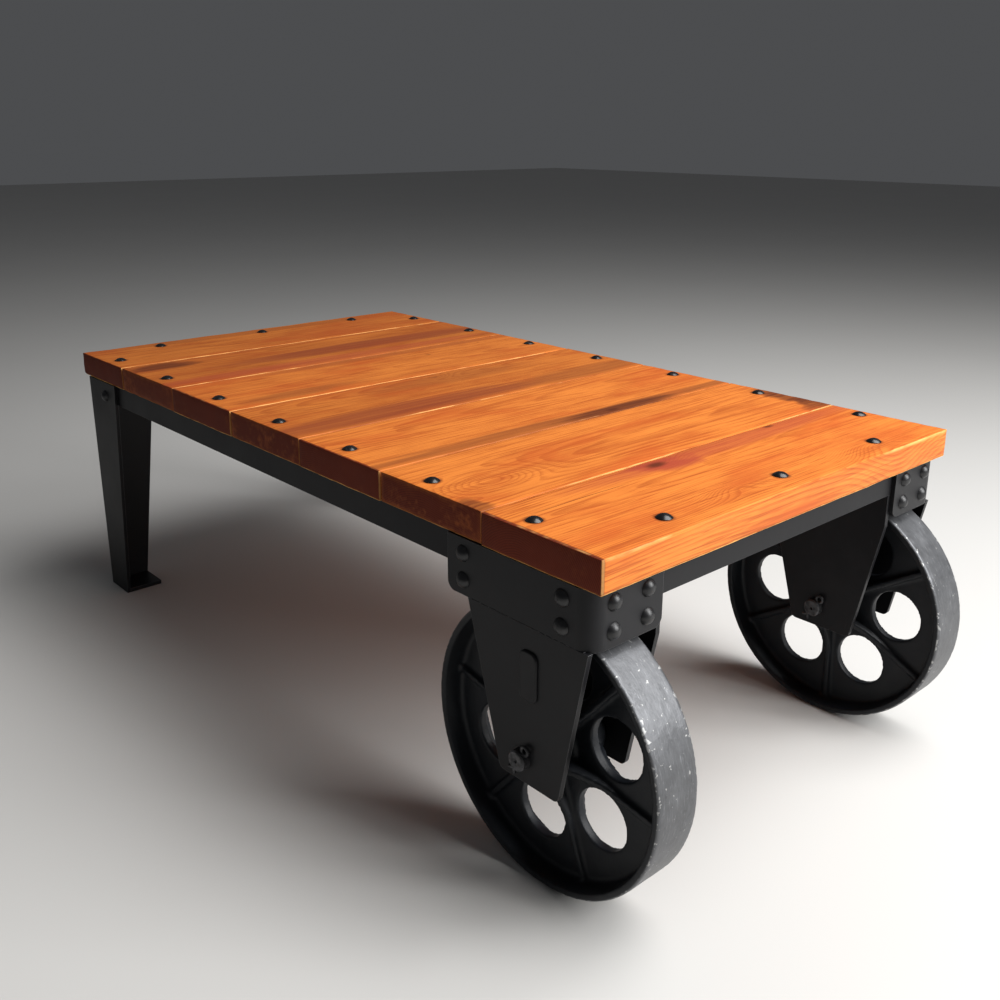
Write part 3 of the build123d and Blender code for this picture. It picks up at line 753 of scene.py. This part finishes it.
def cast_iron(iron):
    """Blue-black painted casting with a worn bare tread."""
    cast = Recipe("cast_wheel_iron")
    place = cast.place()
    x, y, z = cast.axes(place)
    across = x - AXLE.x
    up = z - AXLE.z
    reach = cast.math("SQRT", across * across + up * up)
    pits = cast.noise(place, 420.0, 3.0, 0.6)
    blotch = cast.noise(place, 28.0, 4.0, 0.6)
    speck = cast.noise(place, 190.0, 2.0, 0.5)
    from_middle = abs(abs(y) - abs(middle_of("wheel_left").y))

    tread = cast.ease(reach, WHEEL_RADIUS - 0.0032, WHEEL_RADIUS - 0.0016)
    lip = cast.ease(from_middle, 0.024, 0.0305)
    scratch = cast.noise(cast.point(across, y * 9.0, up), 60.0, 4.0, 0.7)
    chips = cast.ease(speck + (lip - 0.5) * 0.12 + (blotch - 0.5) * 0.3, 0.63, 0.68) * tread
    dimple = cast.noise(place, 95.0, 3.0, 0.55)
    stain = cast.ease(blotch + (scratch - 0.5) * 0.6, 0.3, 0.75)

    base = cast.mix(blotch, tuple(iron.cast_paint), scaled(iron.cast_paint, 1.9))
    bare = cast.mix(stain, scaled(iron.tread, 0.7), tuple(iron.tread))
    bare = cast.mix(cast.ease(scratch, 0.58, 0.7) * 0.4, bare, scaled(iron.tread, 2.4))
    bare = cast.mix(cast.ease(dimple, 0.6, 0.75) * 0.5, bare, scaled(iron.tread, 0.4))
    colour = cast.mix(tread, base, bare)
    colour = cast.mix(chips * 0.7, colour, (0.45, 0.45, 0.44))
    worn_rim = cast.edge_wear(0.0016)
    rim_line = cast.ease(worn_rim + (speck - 0.5) * 0.1, 0.07, 0.2) * cast.ease(reach, 0.12, 0.16) * 0.5
    colour = cast.mix(rim_line, colour, tuple(iron.tread))
    dust = cast.ease(cast.noise(place, 9.0, 3.0), 0.45, 0.75) * 0.04
    colour = cast.mix(dust * (1.0 - tread), colour, (0.16, 0.15, 0.14))

    height = pits * 0.6 + blotch * 0.4 + chips * -0.4 + dimple * tread * 1.4
    return cast.finish(
        Base_Color=colour,
        Metallic=tread * 0.55,
        Specular_IOR_Level=0.3,
        Roughness=0.5 + (blotch - 0.5) * 0.25 - tread * 0.06,
        Normal=cast.bump(height, 0.45, 0.0006, 0.0012),
    )


class CARTTABLE_OT_cast_wheels(bpy.types.Operator):
    """Soften the two wheels into sand castings and finish them with their bushes"""

    bl_idname = "cart_table.cast_wheels"
    bl_label = "Cast wheels"

    def execute(self, context):
        iron = context.scene.cart_table_iron
        finish = cast_iron(iron)
        for side in SIDES:
            casting = self.soften(f"wheel_{side}", f"cast_wheel_{side}", iron.grain_size)
            finish_piece(casting, finish, f"wheel_{side}", [f"wheel_{side}"])
            repaint(f"hub_bush_{side}", bearing_bronze())
        return {"FINISHED"}

    def soften(self, node, name, cell):
        """A copy of the turned CAD wheel, remeshed and smoothed so its corners look cast."""
        casting = bpy.data.objects.new(name, NODES[node].data.copy())
        casting.data.name = name
        bpy.context.scene.collection.objects.link(casting)
        make_active(casting)
        bpy.ops.object.mode_set(mode="EDIT")
        bpy.ops.mesh.select_all(action="SELECT")
        bpy.ops.mesh.remove_doubles(threshold=1e-5)
        bpy.ops.object.mode_set(mode="OBJECT")
        add_modifier(casting, "REMESH", "cells", mode="VOXEL", voxel_size=cell)
        add_modifier(casting, "SMOOTH", "soften", factor=0.5, iterations=2)
        wear_down(casting, "sand", 0.5 * MM, 0.012, seed=len(name))
        make_active(casting)
        bpy.ops.object.shade_smooth()
        return casting


def bearing_bronze():
    """Oily bronze of the hub bushes."""
    if "bearing_bronze" in bpy.data.materials:
        return bpy.data.materials["bearing_bronze"]
    bronze = Recipe("bearing_bronze")
    place = bronze.place()
    grime = bronze.ease(bronze.noise(place, 70.0, 4.0), 0.4, 0.7)
    turning = bronze.noise(bronze.stretched(place, (1.0, 60.0, 1.0)), 30.0)
    return bronze.finish(
        Base_Color=bronze.mix(grime, (0.5, 0.3, 0.11), (0.09, 0.055, 0.03)),
        Metallic=1.0 - grime * 0.5,
        Roughness=0.3 + grime * 0.35,
        Normal=bronze.bump(turning, 0.2, 0.0003),
    )


# ---------------------------------------------------------------- painted ironwork


def painted_iron(name, iron, sheen, wear, brightness=1.0):
    """Satin black paint over rolled plate: orange peel, faint scuffs and edges rubbed grey."""
    paint = Recipe(name)
    place = paint.place()
    peel = paint.noise(place, 650.0, 2.0)
    scale = paint.noise(place, 90.0, 4.0, 0.6)
    cloud = paint.noise(place, 11.0, 4.0, 0.6)
    scuff = paint.noise(paint.stretched(place, (1.0, 1.0, 0.14)), 160.0, 4.0, 0.7, 0.4)
    scuff = paint.ease(scuff, 0.64, 0.78)
    rubbed = paint.ease(paint.edge_wear(0.0018) + (scale - 0.5) * 0.16, 0.1, 0.3) * wear

    base = scaled(iron.paint, brightness)
    colour = paint.mix(cloud, scaled(base, 0.7), scaled(base, 1.45))
    colour = paint.mix(scuff * 0.15, colour, (0.075, 0.075, 0.08))
    colour = paint.mix(rubbed, colour, (0.16, 0.16, 0.165))
    dust = paint.ease(cloud + (scale - 0.5) * 0.3, 0.5, 0.8) * 0.03
    colour = paint.mix(dust, colour, (0.14, 0.135, 0.13))
    return paint.finish(
        Base_Color=colour,
        Metallic=rubbed * 0.5,
        Specular_IOR_Level=0.22,
        Roughness=sheen + (cloud - 0.5) * 0.2 + scuff * 0.1 + dust,
        Normal=paint.bump(peel * 0.25 + scale * 0.75, 0.3, 0.0004, 0.0009),
    )


PLATE_PARTS = ("corner_bracket", "fork_outer_plate", "fork_inner_plate", "fork_bridge", "fork_pad")


class CARTTABLE_OT_ironwork(bpy.types.Operator):
    """Paint the rails, brackets, forks and legs"""

    bl_idname = "cart_table.ironwork"
    bl_label = "Ironwork paint"

    def execute(self, context):
        iron = context.scene.cart_table_iron
        rails = painted_iron("rail_paint", iron, 0.5, 0.4)
        plates = painted_iron("plate_paint", iron, 0.43, 0.8)
        legs = painted_iron("leg_paint", iron, 0.46, 0.9, 0.9)
        for node in ("end_rail_wheel", "end_rail_leg"):
            repaint(node, rails)
        for side in SIDES:
            repaint(f"side_rail_{side}", rails)
            for part in PLATE_PARTS:
                repaint(f"{part}_{side}", plates)
            for part in ("leg", "foot_plate"):
                repaint(f"{part}_{side}", legs)
        return {"FINISHED"}


# ---------------------------------------------------------------- pads and welds


class CARTTABLE_OT_fork_pads(bpy.types.Operator):
    """Round over the upright pad on the face of each outer fork plate"""

    bl_idname = "cart_table.fork_pads"
    bl_label = "Fork pads"

    def execute(self, context):
        finish = painted_iron("pad_paint", context.scene.cart_table_iron, 0.4, 0.5)
        for side in SIDES:
            node = f"fork_pad_{side}"
            pad = self.round_pad(f"rounded_pad_{side}", node)
            finish_piece(pad, finish, "table", [node])
        return {"FINISHED"}

    def round_pad(self, name, node):
        """An oblong block whose four upright corners and outer rim are rolled over."""
        low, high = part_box(node)
        pad = new_block(name, low, high)
        pick(pad, "edges", lambda edge: along(pad, edge, 1))
        bpy.ops.mesh.bevel(offset=9 * MM, segments=6)
        outer = max(low.y, high.y, key=abs)
        pick(pad, "polygons", lambda face: abs(face.center.y - outer) < 0.1 * MM)
        bpy.ops.mesh.inset(thickness=2.4 * MM)
        pick(pad, "edges", lambda edge: self.on_rim(pad, edge, outer))
        bpy.ops.mesh.bevel(offset=2.2 * MM, segments=5)
        bpy.ops.object.mode_set(mode="OBJECT")
        make_active(pad)
        bpy.ops.object.shade_smooth_by_angle(angle=math.radians(60))
        return pad

    def on_rim(self, pad, edge, outer):
        """True on the outer face's own outline, and not on the outline inset inside it."""
        if abs(edge_middle(pad, edge).y - outer) >= 0.1 * MM:
            return False
        walls = [face for face in pad.data.polygons if abs(face.normal.y) < 0.5]
        return sum(set(edge.vertices) <= set(face.vertices) for face in walls) == 1


class CARTTABLE_OT_weld_beads(bpy.types.Operator):
    """Run a low weld bead along the foot of each bracket, where the outer fork plate hangs from it"""

    bl_idname = "cart_table.weld_beads"
    bl_label = "Weld beads"

    def execute(self, context):
        iron = context.scene.cart_table_iron
        finish = painted_iron("weld_paint", iron, 0.5, 0.3)
        for side in SIDES:
            plate_low, plate_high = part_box(f"fork_outer_plate_{side}")
            outer = max(plate_low.y, plate_high.y, key=abs)
            start = plate_low.x + 6 * MM
            end = plate_high.x - 6 * MM
            bead = self.lay_bead(f"fork_weld_{side}", start, end, outer, plate_high.z, iron.weld_width)
            finish_piece(bead, finish, "table")
        return {"FINISHED"}

    def lay_bead(self, name, start, end, y, z, width):
        """A rod with ripples, sunk partly into the plate, with its two end faces inset."""
        deselect_everything()
        inward = -1.0 if y > 0 else 1.0
        bpy.ops.mesh.primitive_cylinder_add(
            vertices=12,
            radius=width / 2,
            depth=end - start,
            location=((start + end) / 2, y + inward * width * 0.3, z),
            rotation=(0.0, math.radians(90), 0.0),
        )
        bead = settle(name)
        pick(bead, "polygons", lambda face: abs(face.normal.x) > 0.9)
        bpy.ops.mesh.inset(thickness=width * 0.2)
        slice_along(bead, 0, 90)
        bpy.ops.object.mode_set(mode="OBJECT")
        wear_down(bead, "ripple", 1.2 * MM, 0.005, seed=3)
        make_active(bead)
        bpy.ops.object.shade_smooth_by_angle(angle=math.radians(50))
        return bead


# ---------------------------------------------------------------- fasteners


def black_head(name, iron, roughness):
    """Glossier black of hammered and rolled heads."""
    head = Recipe(name)
    place = head.place()
    dents = head.noise(place, 130.0, 3.0)
    fine = head.noise(place, 800.0, 2.0)
    rubbed = head.ease(dents + (fine - 0.5) * 0.5, 0.58, 0.74)
    base = scaled(iron.paint, 0.75)
    return head.finish(
        Base_Color=head.mix(rubbed * 0.5, base, (0.06, 0.06, 0.063)),
        Metallic=rubbed * 0.3,
        Roughness=roughness + rubbed * 0.15,
        Normal=head.bump(dents * 0.7 + fine * 0.3, 0.4, 0.0005, 0.0006),
    )


def zinc_plate():
    """Dull plated washers and nuts."""
    zinc = Recipe("dull_zinc")
    place = zinc.place()
    patch = zinc.noise(place, 60.0, 4.0, 0.6)
    fine = zinc.noise(place, 500.0, 2.0)
    return zinc.finish(
        Base_Color=zinc.mix(patch, (0.3, 0.3, 0.29), (0.52, 0.52, 0.5)),
        Metallic=0.75 + patch * 0.2,
        Roughness=0.62 - patch * 0.25,
        Normal=zinc.bump(fine, 0.2, 0.0002, 0.0005),
    )


def axle_steel():
    """Turned bar, oily and lightly rubbed with black."""
    steel = Recipe("turned_axle")
    place = steel.place()
    x, _, z = steel.axes(place)
    across = x - AXLE.x
    up = z - AXLE.z
    reach = steel.math("SQRT", across * across + up * up)
    rings = steel.math("SINE", reach * 9000.0) * 0.5 + 0.5
    grime = steel.ease(steel.noise(place, 110.0, 4.0, 0.6), 0.35, 0.62)
    return steel.finish(
        Base_Color=steel.mix(grime, (0.1, 0.1, 0.105), (0.018, 0.018, 0.02)),
        Metallic=0.75 - grime * 0.5,
        Roughness=0.34 + grime * 0.2,
        Normal=steel.bump(rings * 0.3 + grime * 0.4, 0.25, 0.0003, 0.0005),
    )


class CARTTABLE_OT_fasteners(bpy.types.Operator):
    """Finish the bolts, nuts, washers, rivets, axles and split pins"""

    bl_idname = "cart_table.fasteners"
    bl_label = "Fasteners"

    def execute(self, context):
        iron = context.scene.cart_table_iron
        rivets = black_head("rivet_paint", iron, 0.38)
        zinc = zinc_plate()
        steel = axle_steel()
        repaint("deck_carriage_bolts", black_head("bolt_black", iron, 0.26))
        repaint("deck_bolt_washers", zinc)
        repaint("deck_bolt_nuts", zinc)
        repaint("split_pins", steel)
        repaint("thrust_washers", steel)
        for side in SIDES:
            repaint(f"bracket_rivets_{side}", rivets)
            repaint(f"leg_rivets_{side}", rivets)
            repaint(f"axle_{side}", steel)
        return {"FINISHED"}


# ---------------------------------------------------------------- stage

CAMERA_PLACE = (1.1990, -1.0041, 0.8103)
CAMERA_TURN = (72.922, -0.18, 47.933)
CAMERA_SHIFT = (-0.0067, -0.0484)


class CARTTABLE_OT_stage(bpy.types.Operator):
    """Set out the floor, the soft lights and the camera"""

    bl_idname = "cart_table.stage"
    bl_label = "Stage"

    def execute(self, context):
        stage = context.scene.cart_table_stage
        self.lay_floor(stage)
        self.hang_lights(context, stage)
        self.set_camera(context, stage)
        return {"FINISHED"}

    def lay_floor(self, stage):
        deselect_everything()
        bpy.ops.mesh.primitive_plane_add(size=30.0, location=(0.0, 0.0, 0.0))
        floor = bpy.context.active_object
        floor.name = floor.data.name = "studio_floor"
        plaster = Recipe("floor_plaster")
        tone = plaster.noise(plaster.place(), 1.5, 3.0)
        colour = plaster.mix(tone, scaled(stage.floor, 0.95), tuple(stage.floor))
        floor.data.materials.append(plaster.finish(Base_Color=colour, Roughness=0.75))

    def hang_lights(self, context, stage):
        world = bpy.data.worlds.new("studio_air")
        world.use_nodes = True
        air = world.node_tree.nodes["Background"]
        air.inputs["Color"].default_value = (0.8, 0.82, 0.86, 1.0)
        air.inputs["Strength"].default_value = 0.09
        context.scene.world = world
        context.scene.view_settings.view_transform = "Standard"
        self.soft_light("window_light", (2.7, 1.0, 1.7), (0.2, 0.0, 0.3), 1.8, stage.window_power)
        self.soft_light("sky_light", (1.3, 0.9, 3.0), (0.2, 0.0, 0.2), 2.2, stage.window_power)

    def soft_light(self, name, place, target, size, power):
        """Hangs a square area light that faces a target."""
        light = bpy.data.lights.new(name, "AREA")
        light.energy = power
        light.size = size
        lamp = bpy.data.objects.new(name, light)
        lamp.location = place
        lamp.rotation_euler = (Vector(target) - Vector(place)).to_track_quat("-Z", "Y").to_euler()
        bpy.context.scene.collection.objects.link(lamp)

    def set_camera(self, context, stage):
        view = bpy.data.cameras.new("camera")
        view.lens = stage.lens
        view.sensor_width = 36.0
        view.shift_x, view.shift_y = CAMERA_SHIFT
        view.clip_start = 0.05
        camera = bpy.data.objects.new("camera", view)
        camera.location = CAMERA_PLACE
        camera.rotation_euler = [math.radians(angle) for angle in CAMERA_TURN]
        context.scene.collection.objects.link(camera)
        context.scene.camera = camera


# ---------------------------------------------------------------- panel and registration

STEPS = (
    ("deck_boards", "Deck boards"),
    ("cast_wheels", "Cast wheels"),
    ("ironwork", "Ironwork paint"),
    ("fork_pads", "Fork pads"),
    ("weld_beads", "Weld beads"),
    ("fasteners", "Fasteners"),
    ("stage", "Stage"),
)


class CARTTABLE_PT_panel(bpy.types.Panel):
    """Lists the settings and the steps of the table"""

    bl_label = "Cart Table"
    bl_idname = "CARTTABLE_PT_panel"
    bl_space_type = "VIEW_3D"
    bl_region_type = "UI"
    bl_category = "Cart Table"

    def draw(self, context):
        layout = self.layout
        for group in ("cart_table_deck", "cart_table_iron", "cart_table_stage"):
            settings = getattr(context.scene, group)
            box = layout.box()
            for setting in settings.bl_rna.properties.keys():
                if setting not in ("rna_type", "name"):
                    box.prop(settings, setting)
        for step, label in STEPS:
            layout.operator(f"cart_table.{step}", text=label)


CLASSES = (
    DeckSettings,
    IronSettings,
    StageSettings,
    CARTTABLE_OT_deck_boards,
    CARTTABLE_OT_cast_wheels,
    CARTTABLE_OT_ironwork,
    CARTTABLE_OT_fork_pads,
    CARTTABLE_OT_weld_beads,
    CARTTABLE_OT_fasteners,
    CARTTABLE_OT_stage,
    CARTTABLE_PT_panel,
)


def register():
    for made in CLASSES:
        bpy.utils.register_class(made)
    bpy.types.Scene.cart_table_deck = PointerProperty(type=DeckSettings)
    bpy.types.Scene.cart_table_iron = PointerProperty(type=IronSettings)
    bpy.types.Scene.cart_table_stage = PointerProperty(type=StageSettings)


def unregister():
    del bpy.types.Scene.cart_table_stage
    del bpy.types.Scene.cart_table_iron
    del bpy.types.Scene.cart_table_deck
    for made in reversed(CLASSES):
        bpy.utils.unregister_class(made)


def main():
    register()
    for step, _ in STEPS:
        getattr(bpy.ops.cart_table, step)()


if __name__ == "__main__":
    main()
